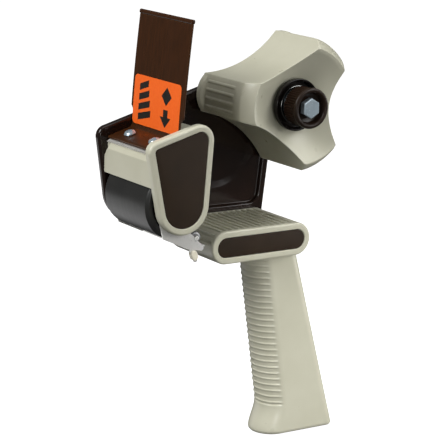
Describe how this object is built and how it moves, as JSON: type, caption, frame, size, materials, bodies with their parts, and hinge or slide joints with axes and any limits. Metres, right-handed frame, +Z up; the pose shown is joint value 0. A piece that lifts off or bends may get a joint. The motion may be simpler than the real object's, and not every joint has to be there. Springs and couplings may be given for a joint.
{
  "type": "tape dispenser",
  "caption": "Pistol-grip carton tape dispenser with a braked tape hub, rubber roller, nip lever, wipe-down flap and serrated cutter blade.",
  "frame": {"origin": "middle of the handle's flat butt", "axes": "+Z up along the grip, +Y along the hub's axis towards the side frame, +X towards the user"},
  "size_m": [0.1418, 0.0672, 0.246],
  "materials": {
    "beige_plastic": "satin moulded plastic",
    "dark_brown_plastic": "glossy, lightly wavy",
    "insert_brown": "matt, fine grain",
    "flap_brown": "satin, slightly translucent",
    "brown_plastic": "knurled and satin",
    "black_plastic": "glossy",
    "black_rubber": "ground, satin",
    "orange_label": "printed film",
    "nickel_steel": "nickel plated",
    "zinc_steel": "bright zinc",
    "knurled_steel": "knurled",
    "cream_nylon": "smooth",
    "grey_felt": "felt"
  },
  "bodies": {
    "frame": {"side_frame": "dark_brown_plastic", "handle": "beige_plastic", "platform_insert": "insert_brown", "head_cover": "beige_plastic", "head_insert": "insert_brown", "flap_foot": "flap_brown", "cutter_blade": "nickel_steel", "flap_screw_near": "zinc_steel", "flap_screw_far": "zinc_steel", "cover_screw_front": "zinc_steel", "cover_screw_rear": "zinc_steel", "handle_screw_front": "zinc_steel", "handle_screw_middle": "zinc_steel", "handle_screw_rear": "zinc_steel", "roller_axle": "zinc_steel", "roller_axle_washer": "zinc_steel", "roller_axle_nut": "zinc_steel", "nip_pivot_near": "nickel_steel", "nip_pivot_far": "nickel_steel", "nip_spring": "zinc_steel", "spring_post": "zinc_steel", "spindle": "zinc_steel", "spindle_washer": "zinc_steel", "spindle_nut": "zinc_steel", "hub_washer": "zinc_steel", "friction_disc": "grey_felt", "brake_cup": "black_plastic", "thrust_washer": "nickel_steel", "brake_spring": "zinc_steel"},
    "tape_hub": {"tape_hub": "beige_plastic", "hub_bush": "cream_nylon"},
    "brake_slider": {"spring_seat": "zinc_steel"},
    "knob": {"brake_knob": "brown_plastic", "brake_bolt": "zinc_steel"},
    "wipe_roller": {"roller_tyre": "black_rubber", "roller_core": "black_plastic"},
    "nip": {"nip_bracket": "nickel_steel", "lever_sleeve": "cream_nylon", "one_way_pin": "nickel_steel"},
    "one_way": {"one_way_roller": "knurled_steel"},
    "flap": {"wipe_flap": "flap_brown", "flap_label": "orange_label"}
  },
  "joints": [
    {"name": "hub_spin", "type": "hinge", "parent": "frame", "child": "tape_hub", "pos_m": [-0.0138, 0, 0.1945], "axis": [0, 1, 0], "continuous": true},
    {"name": "brake_travel", "type": "slide", "parent": "frame", "child": "brake_slider", "axis": [0, 1, 0], "range_m": [-0.001, 0.0015], "deforming": ["brake_spring"]},
    {"name": "knob_turn", "type": "hinge", "parent": "brake_slider", "child": "knob", "pos_m": [-0.0138, 0, 0.1945], "axis": [0, 1, 0], "range_deg": [-375, 560]},
    {"name": "roller_spin", "type": "hinge", "parent": "frame", "child": "wipe_roller", "pos_m": [-0.0944, 0, 0.1467], "axis": [0, 1, 0], "continuous": true},
    {"name": "nip_swing", "type": "hinge", "parent": "frame", "child": "nip", "pos_m": [-0.1008, 0, 0.1375], "axis": [0, 1, 0], "range_deg": [0, 12], "stiffness_Nm_per_rad": 0.35, "springref_deg": -9.74, "deforming": ["nip_spring"]},
    {"name": "one_way_spin", "type": "hinge", "parent": "nip", "child": "one_way", "pos_m": [-0.08216, 0, 0.12711], "axis": [0, 1, 0], "continuous": true},
    {"name": "flap_bend", "type": "hinge", "parent": "frame", "child": "flap", "pos_m": [-0.0948, 0, 0.18273], "axis": [0, 1, 0], "range_deg": [-5, 35], "stiffness_Nm_per_rad": 0.25}
  ],
  "couplings": [
    {"joint": "knob_turn", "follows": "brake_travel", "rad_per_m": 6283.2}
  ]
}
